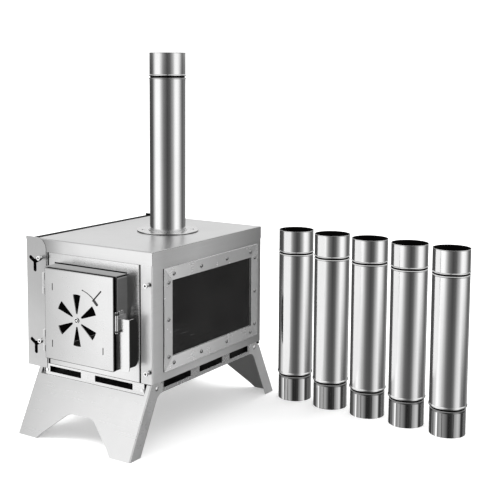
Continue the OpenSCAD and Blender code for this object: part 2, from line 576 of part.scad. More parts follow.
// loose section: flared step with a groove ring under it, then a male end
// drawn in to fit the next section, with rolled creases along it
crimp = 45; crimp_r = pr - 1;
creases = [-87, -63, -50, -12, 31, 74, 122, 170, 221];
module pipe_crimped() difference() {
    rotate_extrude($fn = 96)
        polygon(concat(outer_profile(crimp + 6, pipe_l), rev(shifted(outer_profile(crimp + 7, pipe_l), pipe_t)),
            [[crimp_r - 2.2, crimp + 3.5], [crimp_r - 2.2, crimp - 4.2], [crimp_r - 0.8, crimp - 5.4],
             [crimp_r - 0.8, 0], [crimp_r, 0], [crimp_r, crimp - 3.2], [crimp_r - 1.4, crimp - 2.4],
             [crimp_r - 1.4, crimp + 0.6], [pr + bead - 0.2, crimp + 1.6], [pr + bead, crimp + 3.4], [pr, crimp + 5]]));
    for (a = creases) rotate(a) bx([crimp_r - 0.4, -0.4, -1], [crimp_r + 1, 0.4, crimp - 6]);
}
module flue_section_1() color([0.62, 0.62, 0.63]) placed()
    translate([flue_x, flue_y, top_z + 1.5]) pipe_plain(pipe_mounted_l);
module loose(i) color([0.62, 0.62, 0.63]) placed()
    translate([row_x + i*row_dx, row_y + i*row_dy, 0]) pipe_crimped();
module flue_section_2() loose(0);
module flue_section_3() loose(1);
module flue_section_4() loose(2);
module flue_section_5() loose(3);
module flue_section_6() loose(4);

// ---------------------------------------------------------------- legs
lw = leg_w/2;
// the leg plate's outer face runs from above the pivot down to the foot
splay = atan((foot_out - 17.9)/(pivot_z + 0.7));
plate_top = body_z - 1.4;                 // the ears end under the body
plate_len = plate_top/cos(splay);
mid_len = (tray_z + 3.2)/cos(splay);      // plate between the ears stops at the tray's lower edge
// points across the plate: u across, v up the plate from the foot
arch = [[-76.5, -2], [-66, 10.5], [-29.7, 43.7], [-17, 49], [17, 49], [29.7, 43.7], [66, 10.5], [76.5, -2]];
module leg_plate_2d() difference() {
    polygon([[-lw, 0], [lw, 0], [lw, plate_len], [lw - 7.9, plate_len], [lw - 7.9, mid_len],
        [-lw + 7.9, mid_len], [-lw + 7.9, plate_len], [-lw, plate_len]]);
    polygon(arch);
    // large radii into the flat of the arch
    for (s = [-1, 1]) translate([s*17, 31]) circle(r = 18, $fn = 64);
}
// clips an ear's outer corner where the shield's flange or a spacer hangs
module ear_clip(s) translate([s > 0 ? lw - 20 : -lw - 1, 0, 0]) rotate([90, 0, 90]) linear_extrude(21)
    polygon([[-250, sh_z - 0.7], [-(pivot_y + 12.5), sh_z - 0.7], [-(pivot_y + 5), plate_top + 1], [-250, plate_top + 1]]);
module leg(clipped) difference() {
    union() {
        // plate: its outer face is the plane y = 0 of the tilted frame
        leg_frame() translate([0, t, 0]) rotate([90, 0, 0]) linear_extrude(t) leg_plate_2d();
        for (s = [-1, 1]) translate([s > 0 ? lw - t : -lw, 0, 0]) rotate([90, 0, 90]) linear_extrude(t)
            polygon([[-(pivot_y + foot_out), 0], [-(pivot_y + foot_out) + 27, 0],
                [-(pivot_y + 1), pivot_z - 19.5], [-(pivot_y - 1.4), pivot_z - 15.6], [-(pivot_y - 4.6), pivot_z - 12.6],
                [-(pivot_y - 9), pivot_z - 10.3], [-(pivot_y - 14.5), pivot_z - 9.3], [-(pivot_y - 15.6), pivot_z - 3],
                [-(pivot_y - 15), pivot_z + 3.5], [-(pivot_y - 11), pivot_z + 7.6], [-(pivot_y - 4), plate_top],
                [-(pivot_y + foot_out) + plate_top*tan(splay), plate_top]]);
    }
    leg_frame() for (s = [-1, 1]) bend_z(-5, plate_len + 5, s*lw, 0, -s, 1, br);
    for (s = [-1, 1]) xcyl(2.55, s > 0 ? lw - 5 : -lw - 5, s > 0 ? lw + 5 : -lw + 5, -pivot_y, pivot_z);
    for (s = clipped) ear_clip(s);
}
module leg_frame() translate([0, -(pivot_y + foot_out), 0]) rotate([-splay, 0, 0]) children();
module ground_cut() bx([-300, -400, -50], [300, 400, 0]);
module front_leg() color([0.84, 0.84, 0.84]) placed() difference() { leg([-1]); ground_cut(); }
module rear_leg() color([0.6, 0.6, 0.6]) placed() mirror([0, 1, 0]) difference() { leg([-1, 1]); ground_cut(); }
module leg_pivots() color([0.85, 0.85, 0.85]) placed()
    for (sx = [-1, 1], sy = [-1, 1]) {
        x0 = tray_x - t; x1 = lw;
        xcyl(2.5, sx > 0 ? x0 - 1.2 : -x1 - 1, sx > 0 ? x1 + 1 : -x0 + 1.2, sy*pivot_y, pivot_z);
        translate([sx*(x1 + 0.1), sy*pivot_y, pivot_z]) rotate([0, sx*90, 0]) rotate_extrude($fn = 32)
            polygon([[0, 0], [4, 0], [3.7, 0.8], [2.6, 1.6], [0, 2]]);
        xcyl(4, sx > 0 ? x0 - 1.6 : -x0, sx > 0 ? x0 : -x0 + 1.6, sy*pivot_y, pivot_z);
    }

// ---------------------------------------------------------------- shield
sh_r = hw - 21.5;            // its flanges' inner edge
sh_y = hd + 1.6;             // inner plane of its flanges
sh_z = 98.2;                 // its lower edge
yt = 1.2;
arm_r = [15, 7.6];           // the Y's long arm, which hangs on the bolt
arm_l = [-9.2, 5.8];         // its short arm
module stroke2(a, b, w) {
    d = b - a; l = norm(d); n = [-d[1], d[0]]*(w/2/l);
    polygon([a + n, b + n, b - n, a - n]);
    for (p = [a, b]) translate(p) circle(r = w/2, $fn = 24);
}
module y_slot(z) {
    j = [-bolt_xl, z] - arm_r;
    stroke2(j, j + arm_r, 6.8);
    stroke2(j, j + arm_l, 6.8);
    stroke2(j, j + [0, -13.5], 6.8);
}
module shield_end_2d() difference() {
    union() {
        difference() {
            translate([-sh_x, sh_z]) square([sh_x - sh_r, top_z + 2 - sh_z]);
            translate([-sh_r - 19, top_z + 2 - 19]) square([20, 20]);
        }
        translate([-sh_r - 19, top_z + 2 - 19]) circle(r = 19, $fn = 96);
    }
    for (z = bolt_left) y_slot(z);
    // the panel's bend takes this strip
    translate([-sh_x - 1, sh_z - 1]) square([yt + 1, top_z - 3 - sh_z + 1]);
}
module side_shield() color([0.76, 0.76, 0.77]) placed() {
    for (f = [-1, 1]) translate([0, f > 0 ? sh_y + yt : -sh_y, 0]) rotate([90, 0, 0]) linear_extrude(yt) shield_end_2d();
    difference() {
        bx([-sh_x, -sh_y - yt, sh_z], [-sh_x + yt, sh_y + yt, top_z - 3]);
        for (f = [-1, 1]) bend_z(sh_z - 1, top_z, -sh_x, f*(sh_y + yt), 1, -f, br);
    }
    // stiffening return along the bottom of the panel
    bx([-sh_x, -sh_y, sh_z], [-sh_x + 5, sh_y, sh_z + yt]);
}
module shield_edge_strip() color([0.06, 0.06, 0.06]) placed() difference() {
    bx([-sh_x - 0.2, -sh_y + 0.2, top_z - 9], [-sh_x + yt + 1.4, sh_y - 0.2, top_z - 2]);
    bx([-sh_x - 0.01, -sh_y, top_z - 10], [-sh_x + yt + 0.01, sh_y, top_z - 3]);
    bx([-sh_x - 1, -sh_y - 1, top_z - 10], [-sh_x + 0.1, sh_y + 1, top_z]);
}
module hang_bolts() color([0.8, 0.8, 0.8]) placed()
    for (b = bolts) {
        back = b[2] > 0 ? 2*t : t;
        translate([b[0], b[2]*hd, b[1]]) rotate([b[2] > 0 ? -90 : 90, 0, 0]) {
            difference() {
                union() {
                    translate([0, 0, -back - 1]) cylinder(r = shank_r, h = back + 1 + 9);
                    cylinder(r = nut_r, h = 1);
                    translate([0, 0, 8.6]) cylinder(r = nut_r, h = 2.8);
                    translate([0, 0, -t - 2.6]) cylinder(r = nut_r, h = 2.6);
                }
                translate([0, 0, 9.8]) cylinder(r = 1.6, h = 3, $fn = 6);
            }
        }
    }

// blocks at the foot of the back that keep the stove off a wall: one at the
// window's corner, one between the rear air slots, clear of the side shield
module rear_spacers() color([0.07, 0.07, 0.07]) placed()
    for (x = [-17, hw - 16]) bx([x, hd, body_z - 7.4], [x + 11, hd + 4.5, body_z + 4.4]);

// ---------------------------------------------------------------- output
top_cover();
left_side_panel();
right_side_panel();
front_panel();
back_panel();
base_tray();
tray_rivets();
grate();
baffle_plate();
door_neck();
neck_hinge_leaf();
hinge_pin();
latch_keeper();
window_bar_top();
window_bar_bottom();
window_bar_front();
window_bar_rear();
window_glass();
window_gasket();
window_retainer();
window_screws();
window_nuts();
flue_collar();
flue_spigot();
hang_bolts();
leg_pivots();
rear_spacers();
front_leg();
rear_leg();
door_pan();
door_hinge_leaf();
door_gasket();
door_liner();
damper_rivet();
latch_bracket();
latch_pin();
damper_disc();
damper_lever();
latch_handle();
side_shield();
shield_edge_strip();
flue_section_1();
flue_section_2();
flue_section_3();
flue_section_4();
flue_section_5();
flue_section_6();
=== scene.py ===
import math

import bmesh
import bpy
from mathutils import Matrix, Vector

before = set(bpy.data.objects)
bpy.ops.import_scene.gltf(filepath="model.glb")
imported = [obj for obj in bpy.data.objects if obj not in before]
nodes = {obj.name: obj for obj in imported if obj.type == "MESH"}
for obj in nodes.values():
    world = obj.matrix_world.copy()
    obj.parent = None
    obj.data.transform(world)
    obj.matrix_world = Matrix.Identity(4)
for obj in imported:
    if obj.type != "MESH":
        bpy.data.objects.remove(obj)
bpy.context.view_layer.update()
scene = bpy.context.scene

# design millimetres to metres in the row frame
CX, CY = 173.2, 12.55


def P(x, y, z):
    return Vector(((x - CX) / 1000, (y - CY) / 1000, z / 1000))


# ------------------------------------------------------------ camera
a, e, roll = 0.5932, 0.1046, 0.0023
back = Vector((math.sin(a) * math.cos(e), -math.cos(a) * math.cos(e), math.sin(e)))
right = (-back).cross(Vector((0, 0, 1))).normalized()
up = right.cross(-back)
R = math.cos(roll) * right + math.sin(roll) * up
U = -math.sin(roll) * right + math.cos(roll) * up
cam_data = bpy.data.cameras.new("camera")
cam_data.sensor_width = 36
cam_data.lens = 73.54
# the photograph is a crop from a nearly level view, so that uprights stay upright
cam_data.shift_x, cam_data.shift_y = 0.0796, -0.15
cam_data.clip_start, cam_data.clip_end = 0.05, 60
cam = bpy.data.objects.new("camera", cam_data)
scene.collection.objects.link(cam)
m = Matrix.Identity(4)
m.col[0][:3], m.col[1][:3], m.col[2][:3] = R, U, back
m.col[3][:3] = P(1029.5, -1355.8, 584.6)
cam.matrix_world = m
scene.camera = cam
scene.view_settings.view_transform = "Standard"


# ------------------------------------------------------------ node helpers
class Tree:
    """Small helper round a node tree."""

    def __init__(self, tree):
        self.t = tree

    def add(self, kind, **props):
        n = self.t.nodes.new(kind)
        for k, v in props.items():
            setattr(n, k, v)
        return n

    def put(self, socket, value):
        if isinstance(value, bpy.types.NodeSocket):
            self.t.links.new(value, socket)
        else:
            socket.default_value = value

    def math(self, op, x, y=0.0, z=0.0, clamp=False):
        n = self.add("ShaderNodeMath", operation=op, use_clamp=clamp)
        for s, v in zip(n.inputs, (x, y, z)):
            self.put(s, v)
        return n.outputs[0]

    def remap(self, v, a0, a1, b0=0.0, b1=1.0, smooth=False):
        n = self.add("ShaderNodeMapRange", clamp=True)
        if smooth:
            n.interpolation_type = "SMOOTHSTEP"
        for k, x in (("Value", v), ("From Min", a0), ("From Max", a1), ("To Min", b0), ("To Max", b1)):
            self.put(n.inputs[k], x)
        return n.outputs["Result"]

    def mix(self, f, x, y):
        n = self.add("ShaderNodeMix", data_type="RGBA")
        self.put(n.inputs[0], f)
        self.put(n.inputs[6], x)
        self.put(n.inputs[7], y)
        return n.outputs[2]

    def mixf(self, f, x, y):
        n = self.add("ShaderNodeMix", data_type="FLOAT")
        self.put(n.inputs[0], f)
        self.put(n.inputs[2], x)
        self.put(n.inputs[3], y)
        return n.outputs[0]

    def noise(self, vec, scale, detail=3.0, rough=0.55):
        n = self.add("ShaderNodeTexNoise")
        self.put(n.inputs["Vector"], vec)
        n.inputs["Scale"].default_value = scale
        n.inputs["Detail"].default_value = detail
        n.inputs["Roughness"].default_value = rough
        return n.outputs[0]

    def scaled(self, vec, s, loc=(0, 0, 0)):
        n = self.add("ShaderNodeMapping")
        self.put(n.inputs["Vector"], vec)
        n.inputs["Scale"].default_value = s
        n.inputs["Location"].default_value = loc
        return n.outputs[0]

    def xyz(self, vec):
        n = self.add("ShaderNodeSeparateXYZ")
        self.put(n.inputs[0], vec)
        return n.outputs

    def ramp(self, v, stops):
        n = self.add("ShaderNodeValToRGB")
        self.put(n.inputs[0], v)
        el = n.color_ramp.elements
        while len(el) > 1:
            el.remove(el[0])
        for i, (p, c) in enumerate(stops):
            s = el[0] if i == 0 else el.new(p)
            s.position = p
            s.color = (c, c, c, 1) if not isinstance(c, tuple) else (*c, 1)
        return n.outputs[0]


def new_material(name):
    mat = bpy.data.materials.new(name)
    mat.use_nodes = True
    t = Tree(mat.node_tree)
    bsdf = next(n for n in mat.node_tree.nodes if n.type == "BSDF_PRINCIPLED")
    return mat, t, bsdf


def coords(t):
    return t.add("ShaderNodeTexCoord").outputs["Object"]


def in_box(t, xyz, lo, hi):
    """1 inside the box between design points lo and hi, else 0."""
    lo, hi = P(*lo), P(*hi)
    f = None
    for i in range(3):
        for v in (t.math("GREATER_THAN", xyz[i], lo[i]), t.math("LESS_THAN", xyz[i], hi[i])):
            f = v if f is None else t.math("MULTIPLY", f, v)
    return f


GRAIN = {"x": (7, 1, 1), "y": (1, 7, 1), "z": (1, 1, 7)}


def steel(name, grain="x", tone=0.72, rough=0.3, spread=0.025, painted_shade_boxes=(), tint=(1, 1, 1), streak=1.0,
          wavy=1.0, polish=None, wear_and_highlight=0.35, bore=None, heat=None, metallic=1.0, shade=None, brushed=0.0, holes=(), dark=(), painted_facet_bands=None):
    """Brushed stainless steel: streaked grain, smudges, edges painted lighter (rubbed wear and a painted highlight),
    painted shade and painted reflection bands where asked, near-black painted shade where a box says so.
    """
    mat, t, bsdf = new_material(name)
    co = coords(t)
    s = {"x": (9, 420, 420), "y": (420, 9, 420), "z": (420, 420, 9)}[grain]
    fine = t.noise(t.scaled(co, s), 1.0, 3, 0.6)
    s2 = {"x": (2.5, 90, 90), "y": (90, 2.5, 90), "z": (90, 90, 2.5)}[grain]
    broad = t.noise(t.scaled(co, s2, (3, 5, 7)), 1.0, 2, 0.5)
    blotch = t.noise(co, 13.0, 4, 0.6)
    smudge = t.noise(t.scaled(co, (1, 1, 1), (11, 3, 5)), 42.0, 3, 0.65)
    grainv = t.math("ADD", t.math("MULTIPLY", fine, 0.8), t.math("MULTIPLY", broad, 0.2))
    # colour
    amp = 0.03 * streak
    k = t.remap(grainv, 0.3, 0.7, 1 - amp, 1 + amp * 0.6)
    k = t.math("MULTIPLY", k, t.remap(blotch, 0.3, 0.7, 0.965, 1.02))
    if shade is not None:
        # painted shade: the sheet's tone is scaled along one axis, standing in for how the light falls across it
        axis, pairs = shade[:2]
        c0 = P(0, 0, 0)[axis]
        d0, d1 = pairs[0][0], pairs[-1][0]
        v = t.remap(t.xyz(co)[axis], c0 + d0 / 1000, c0 + d1 / 1000)
        g = t.add("ShaderNodeSeparateColor")
        t.put(g.inputs[0], t.ramp(v, [((d - d0) / (d1 - d0), q) for d, q in pairs]))
        q = g.outputs[0]
        if len(shade) > 2:
            q = t.mixf(t.math("LESS_THAN", t.xyz(co)[2], shade[2] / 1000), 1.0, q)
        k = t.math("MULTIPLY", k, q)
    if painted_facet_bands is not None:
        # painted reflection: the flats between the rolled creases of a drawn-in end are painted duller or brighter in
        # turn, in place of reflected bands
        fx, fy, z1 = painted_facet_bands
        p = P(fx, fy, 0)
        x, y, z = t.xyz(co)
        ang = t.math("ARCTAN2", t.math("SUBTRACT", y, p.y), t.math("SUBTRACT", x, p.x))
        wob = t.math("MULTIPLY", t.math("SINE", t.math("MULTIPLY", ang, 3.0)), 0.35)
        v = t.math("FRACT", t.math("ADD", t.math("MULTIPLY", ang, 12 / (2 * math.pi)), wob))
        g = t.add("ShaderNodeSeparateColor")
        t.put(g.inputs[0], t.ramp(v, [(0.0, 0.25), (0.3, 0.5), (0.55, 0.72), (0.68, 1.18), (0.8, 1.18), (0.86, 0.45), (0.93, 0.12), (1.0, 0.25)]))
        k = t.mixf(t.math("LESS_THAN", z, z1 / 1000), k, t.math("MULTIPLY", k, g.outputs[0]))
    # painted shade: each dark box scales the tone down where shade falls
    for lo, hi, q in dark:
        k = t.mixf(in_box(t, t.xyz(co), lo, hi), k, q)
    comb = t.add("ShaderNodeCombineColor")
    for i in range(3):
        t.put(comb.inputs[i], t.math("MULTIPLY", k, tone * tint[i]))
    colour = comb.outputs[0]
    # roughness
    r = t.remap(grainv, 0.3, 0.7, rough - spread, rough + spread)
    r = t.math("ADD", r, t.remap(smudge, 0.52, 0.72, 0.0, 0.02))
    if polish is not None:
        z0, z1, pr = polish
        f = t.remap(t.xyz(co)[2], z0, z1, 0.0, 1.0)
        r = t.mixf(f, pr, r)
    # edges painted lighter and glossier: partly rubbed wear, partly a painted highlight along the edges
    if wear_and_highlight:
        bev = t.add("ShaderNodeBevel", samples=4)
        bev.inputs["Radius"].default_value = 0.0009
        geo = t.add("ShaderNodeNewGeometry")
        dot = t.add("ShaderNodeVectorMath", operation="DOT_PRODUCT")
        t.put(dot.inputs[0], bev.outputs[0])
        t.put(dot.inputs[1], geo.outputs["Normal"])
        edge = t.remap(dot.outputs["Value"], 0.995, 0.86, 0.0, 1.0)
        edge = t.math("MULTIPLY", edge, t.remap(smudge, 0.3, 0.6, 0.35, 1.0))
        colour = t.mix(t.math("MULTIPLY", edge, wear_and_highlight), colour, (0.93, 0.93, 0.93, 1))
        r = t.mixf(t.math("MULTIPLY", edge, 0.5), r, 0.16)
    # painted shade: inside the given boxes, bolt holes and bore rings the colour is painted near black, rough and
    # fully metallic
    metal = None
    f = None
    for lo, hi in painted_shade_boxes:
        g = in_box(t, t.xyz(co), lo, hi)
        f = g if f is None else t.math("MAXIMUM", f, g)
    for hx, hz, hr in holes:
        p = P(hx, 0, hz)
        x, _, z = t.xyz(co)
        dx, dz = t.math("SUBTRACT", x, p.x), t.math("SUBTRACT", z, p.z)
        d = t.math("SQRT", t.math("ADD", t.math("MULTIPLY", dx, dx), t.math("MULTIPLY", dz, dz)))
        g = t.math("LESS_THAN", d, hr / 1000)
        f = g if f is None else t.math("MAXIMUM", f, g)
    if bore is not None:
        bx, by, rings = bore
        p = P(bx, by, 0)
        x, y, _ = t.xyz(co)
        dx, dy = t.math("SUBTRACT", x, p.x), t.math("SUBTRACT", y, p.y)
        d = t.math("SQRT", t.math("ADD", t.math("MULTIPLY", dx, dx), t.math("MULTIPLY", dy, dy)))
        for br_, z0, z1 in rings:
            g = t.math("LESS_THAN", d, br_ / 1000)
            z = t.xyz(co)[2]
            g = t.math("MULTIPLY", g, t.math("MULTIPLY", t.math("GREATER_THAN", z, z0 / 1000), t.math("LESS_THAN", z, z1 / 1000)))
            f = g if f is None else t.math("MAXIMUM", f, g)
    if heat is not None:
        # straw and bronze heat tint, strongest nearest the flue's foot
        z0, z1, amount = heat
        h = t.math("MULTIPLY", t.remap(t.xyz(co)[2], z0 / 1000, z1 / 1000, 1.0, 0.0), amount)
        h = t.math("MULTIPLY", h, t.remap(blotch, 0.3, 0.7, 0.4, 1.0))
        colour = t.mix(h, colour, (0.50, 0.43, 0.34, 1))
    if f is not None:
        soft = t.remap(blotch, 0.3, 0.7, 0.004, 0.010)
        sc = t.add("ShaderNodeCombineColor")
        for i, q in enumerate((1.0, 0.96, 0.92)):
            t.put(sc.inputs[i], t.math("MULTIPLY", soft, q))
        colour = t.mix(f, colour, sc.outputs[0])
        r = t.mixf(f, r, 0.75)
        metal = t.mixf(f, metallic, 1.0)
    # relief: brushing scratches over a slightly uneven sheet
    b1 = t.add("ShaderNodeBump")
    b1.inputs["Strength"].default_value = 0.03 * wavy
    b1.inputs["Distance"].default_value = 0.0022
    t.put(b1.inputs["Height"], t.noise(t.scaled(co, (1, 1, 1), (2, 9, 4)), 9.0, 1, 0.4))
    b2 = t.add("ShaderNodeBump")
    b2.inputs["Strength"].default_value = 0.025 * streak
    b2.inputs["Distance"].default_value = 0.00012
    t.put(b2.inputs["Height"], fine)
    t.put(b2.inputs["Normal"], b1.outputs[0])
    t.put(bsdf.inputs["Base Color"], colour)
    t.put(bsdf.inputs["Roughness"], r)
    t.put(bsdf.inputs["Normal"], b2.outputs[0])
    bsdf.inputs["Metallic"].default_value = metallic
    if brushed:
        # scratches along the grain spread the light across it
        bsdf.inputs["Anisotropic"].default_value = brushed
        t.put(bsdf.inputs["Tangent"], t.add("ShaderNodeTangent", direction_type="RADIAL", axis=grain.upper()).outputs[0])
    if metal is not None:
        t.put(bsdf.inputs["Metallic"], metal)
    return mat


def coating(name, base=0.02, rough=0.55, scale=500.0):
    """Matt black heat-proof paint with a fine orange-peel surface and rubbed spots."""
    mat, t, bsdf = new_material(name)
    co = coords(t)
    n1 = t.noise(co, scale, 3, 0.6)
    n2 = t.noise(co, 35.0, 3, 0.6)
    k = t.remap(n2, 0.3, 0.7, base * 0.7, base * 1.5)
    c = t.add("ShaderNodeCombineColor")
    for i in range(3):
        t.put(c.inputs[i], k)
    t.put(bsdf.inputs["Base Color"], c.outputs[0])
    t.put(bsdf.inputs["Roughness"], t.remap(n1, 0.3, 0.7, rough - 0.08, rough + 0.1))
    b = t.add("ShaderNodeBump")
    b.inputs["Strength"].default_value = 0.3
    b.inputs["Distance"].default_value = 0.0001
    t.put(b.inputs["Height"], n1)
    t.put(bsdf.inputs["Normal"], b.outputs[0])
    bsdf.inputs["Specular IOR Level"].default_value = 0.4
    return mat


def rope(name):
    """Woven glass-fibre rope: crossing strands in dark grey."""
    mat, t, bsdf = new_material(name)
    co = coords(t)
    w = []
    for rot in (0.8, -0.8):
        mp = t.add("ShaderNodeMapping")
        t.put(mp.inputs["Vector"], co)
        mp.inputs["Rotation"].default_value = (rot, rot, rot)
        wv = t.add("ShaderNodeTexWave", wave_type="BANDS")
        t.put(wv.inputs["Vector"], mp.outputs[0])
        wv.inputs["Scale"].default_value = 260
        wv.inputs["Distortion"].default_value = 1.2
        w.append(wv.outputs["Fac"])
    h = t.math("MAXIMUM", w[0], w[1])
    k = t.remap(h, 0.2, 1.0, 0.02, 0.09)
    c = t.add("ShaderNodeCombineColor")
    for i in range(3):
        t.put(c.inputs[i], k)
    t.put(bsdf.inputs["Base Color"], c.outputs[0])
    bsdf.inputs["Roughness"].default_value = 0.95
    bsdf.inputs["Sheen Weight"].default_value = 0.3
    b = t.add("ShaderNodeBump")
    b.inputs["Strength"].default_value = 0.6
    b.inputs["Distance"].default_value = 0.0004
    t.put(b.inputs["Height"], h)
    t.put(bsdf.inputs["Normal"], b.outputs[0])
    return mat


def glass(name):
    """Smoked stove glass with a thin, patchy haze of soot."""
    mat, t, bsdf = new_material(name)
    co = coords(t)
    haze = t.noise(co, 16.0, 4, 0.6)
    fine = t.noise(co, 220.0, 2, 0.5)
    k = t.remap(haze, 0.3, 0.75, 0.006, 0.014)
    c = t.add("ShaderNodeCombineColor")
    for i, q in enumerate((1.0, 0.98, 0.96)):
        t.put(c.inputs[i], t.math("MULTIPLY", k, q))
    t.put(bsdf.inputs["Base Color"], c.outputs[0])
    t.put(bsdf.inputs["Roughness"], t.remap(fine, 0.3, 0.7, 0.03, 0.07))
    t.put(bsdf.inputs["Alpha"], t.remap(haze, 0.3, 0.75, 0.80, 0.9))
    bsdf.inputs["Specular IOR Level"].default_value = 0.5
    return mat


# ------------------------------------------------------------ materials
HW, HD, BZ, TZ = 117.0, 157.0, 106.0, 310.0
# painted shade: inner faces of the body, the tray and the door neck are painted near black, so slots and gaps between
# parts read dark
inside = [((-HW + 0.7, -HD + 0.7, BZ - 12), (HW - 0.7, HD - 0.7, TZ - 0.7))]
inside_tray = [((-111.5, -HD + 0.7, 86.7), (111.5, HD - 0.7, 130))]
in_neck = [((-78.3, -180.2, 126.7), (68.3, -100, 271.3))]
M = {}
# painted shade across the front: the tone is darkened towards the left
across = [(-125, 0.50), (-100, 0.58), (-60, 0.80), (0, 0.97), (60, 1.0), (125, 1.0)]
# painted shade: the body's left flanges behind the side shield and the shield's inner side are painted near black
left_flange = [((-117.3, -157.4, 106), (-96.2, -155, 309)), ((-117.3, 155, 106), (-96.2, 157.4, 309))]
under_shield = [((-137.4, -159.5, 99.5), (-90, 159.5, 313))]
bolt_z = [(-104.5, 279.3), (-104.5, 143.3), (111.9, 260.3), (111.9, 125.3)]
# painted shade: the top cover's front flange, below 308.7 mm, is painted darker towards the left
M["top"] = steel("sheet_top", "x", 0.74, 0.30, painted_shade_boxes=inside, brushed=0.5,
                 shade=(0, [(-125, 0.30), (-105, 0.36), (-85, 0.55), (-60, 0.84), (-20, 1.0), (125, 1.06)], 308.7))
M["front"] = steel("sheet_front", "x", 0.78, 0.25, painted_shade_boxes=inside, brushed=0.4, streak=0.4, spread=0.008, wavy=0.4, shade=(0, across))
# painted shade: the side panels are painted darker towards the rear, in bands
M["side"] = steel("sheet_side", "y", 0.72, 0.31, painted_shade_boxes=inside + left_flange, brushed=0.4, metallic=0.7,
                  shade=(1, [(-157, 0.93), (-125, 0.84), (-40, 0.97), (50, 0.80), (157, 0.50)]))
# painted shade: the back panel's inner faces are painted near black
M["back"] = steel("sheet_back", "x", 0.72, 0.31, painted_shade_boxes=[((-HW + 2, -HD, BZ - 5), (HW - 2, HD - 1.8, TZ - 2))])
# painted shade: a near-black line along the tray's front bottom bend, and the tray's inside near black
M["tray"] = steel("sheet_tray", "x", 0.76, 0.27, painted_shade_boxes=inside_tray + [((-120, -158, 85.9), (120, -150, 87.2))], metallic=0.9, streak=0.3, spread=0.008, wavy=0.4, wear_and_highlight=0)
# painted shade: the neck's steel has a dark tone so its faces read dark, and its inside is painted near black
M["neck"] = steel("sheet_neck", "y", 0.34, 0.34, painted_shade_boxes=in_neck)
# painted shade: the door is painted darker towards the left, and its inside, seen through the petal openings, near
# black
M["door"] = steel("sheet_door", "x", 0.74, 0.26, painted_shade_boxes=[((-80, -189.4, 100), (80, -170, 300))], brushed=0.6, streak=0.35, spread=0.01, wavy=0.5,
                  shade=(0, [(-75, 0.64), (-40, 0.74), (0, 0.88), (40, 1.0), (75, 1.02)]))
# painted shade: the side shield is painted darker towards its top, and its inner side near black
M["shield"] = steel("sheet_shield", "z", 0.50, 0.30, painted_shade_boxes=under_shield, metallic=0.85,
                    shade=(2, [(98, 1.06), (170, 0.98), (240, 0.84), (312, 0.78)]))
# painted shade: the front leg is painted darker towards the left
M["leg"] = steel("sheet_leg", "x", 0.78, 0.28, brushed=0.4, metallic=0.85, streak=0.3, spread=0.01, wavy=0.5,
                 shade=(0, [(-115, 0.72), (-60, 0.84), (0, 0.95), (60, 1.0), (115, 1.0)]))
# painted light and shade: the rear leg has a lighter tone than the front leg, and its plate under the stove is painted
# darker
M["leg_rear"] = steel("sheet_leg_rear", "x", 0.96, 0.30, dark=[((-112.2, 100, -1), (112.2, 230, 110), 0.46)], brushed=0.4, metallic=0.85, streak=0.3, spread=0.01, wavy=0.5)
# painted shade: the bars' side walls are painted near black as a shadow outline, and the bars are painted darker
# towards the rear, the top bar darker still
frame_edge = [((116.8, -140, 100), (118.7, 150, 300))]
M["bar_top"] = steel("window_bar_top", "y", 0.76, 0.26, metallic=0.6, streak=0.3, wear_and_highlight=0, wavy=0.15, spread=0.008,
                     shade=(1, [(-130, 1.1), (-60, 0.88), (20, 0.70), (145, 0.62)]))
M["bar"] = steel("window_bar", "y", 0.77, 0.26, metallic=0.6, painted_shade_boxes=frame_edge, streak=0.3, wear_and_highlight=0, wavy=0.15, spread=0.008,
                 shade=(1, [(-130, 1.1), (-60, 1.0), (20, 0.8), (145, 0.7)]))
M["bar_v"] = steel("window_bar_upright", "z", 0.80, 0.26, metallic=0.6, painted_shade_boxes=frame_edge, streak=0.3, wear_and_highlight=0, wavy=0.15, spread=0.008,
                   shade=(1, [(-130, 0.78), (0, 0.82), (145, 0.72)]))
# painted shade: the collar's rim just above the top is painted near black, as a gap under its flange
M["collar"] = steel("sheet_collar", "x", 0.70, 0.2, painted_shade_boxes=[((-60, -60, 309), (90, 90, 310.58))])
M["fitting"] = steel("fitting", "z", 0.74, 0.22, wavy=0.3, streak=0.6)
# painted shade: the latch bracket is the fittings' steel in a near-black tone
M["dark_fitting"] = steel("dark_fitting", "z", 0.10, 0.34, wavy=0.3, streak=0.6, wear_and_highlight=0.2)
M["bolt"] = steel("bolt", "y", 0.85, 0.15, wavy=0.0, streak=0.5)
# painted shade: each bolt is painted darker near the sheet it stands on, and its socket near black
M["hang_bolt"] = steel("hang_bolt", "y", 0.88, 0.14, wavy=0.0, streak=0.5,
                       dark=[((-120, -160.4, 100), (120, 160.4, 300), 0.3)], holes=[(x, z, 1.7) for x, z in bolt_z])
M["screw"] = steel("screw", "x", 0.38, 0.18, wavy=0.0, streak=0.4, wear_and_highlight=0.4)
# painted shade: a ring of the damper rivet's head is painted near black, as a groove
M["rivet"] = steel("rivet", "y", 0.85, 0.2, wavy=0.0, streak=0.5, painted_shade_boxes=[((-20, -190.95, 180), (20, -190.1, 210))])
# painted shade: the handle's side flange is painted near black
M["handle"] = steel("handle", "z", 0.82, 0.24, wavy=0.4, dark=[((90.1, -179.7, 120), (93, -150, 207.6), 0.09)])
M["lever"] = steel("lever", "z", 0.07, 0.3, wavy=0.2, wear_and_highlight=0.1)
M["disc"] = steel("damper_disc", "x", 0.62, 0.3)
M["inner"] = steel("firebox", "x", 0.05, 0.55, wear_and_highlight=0.1, tint=(1, 0.95, 0.9))
M["black"] = coating("black_coating")
M["rope"] = rope("rope_gasket")
M["glass"] = glass("stove_glass")

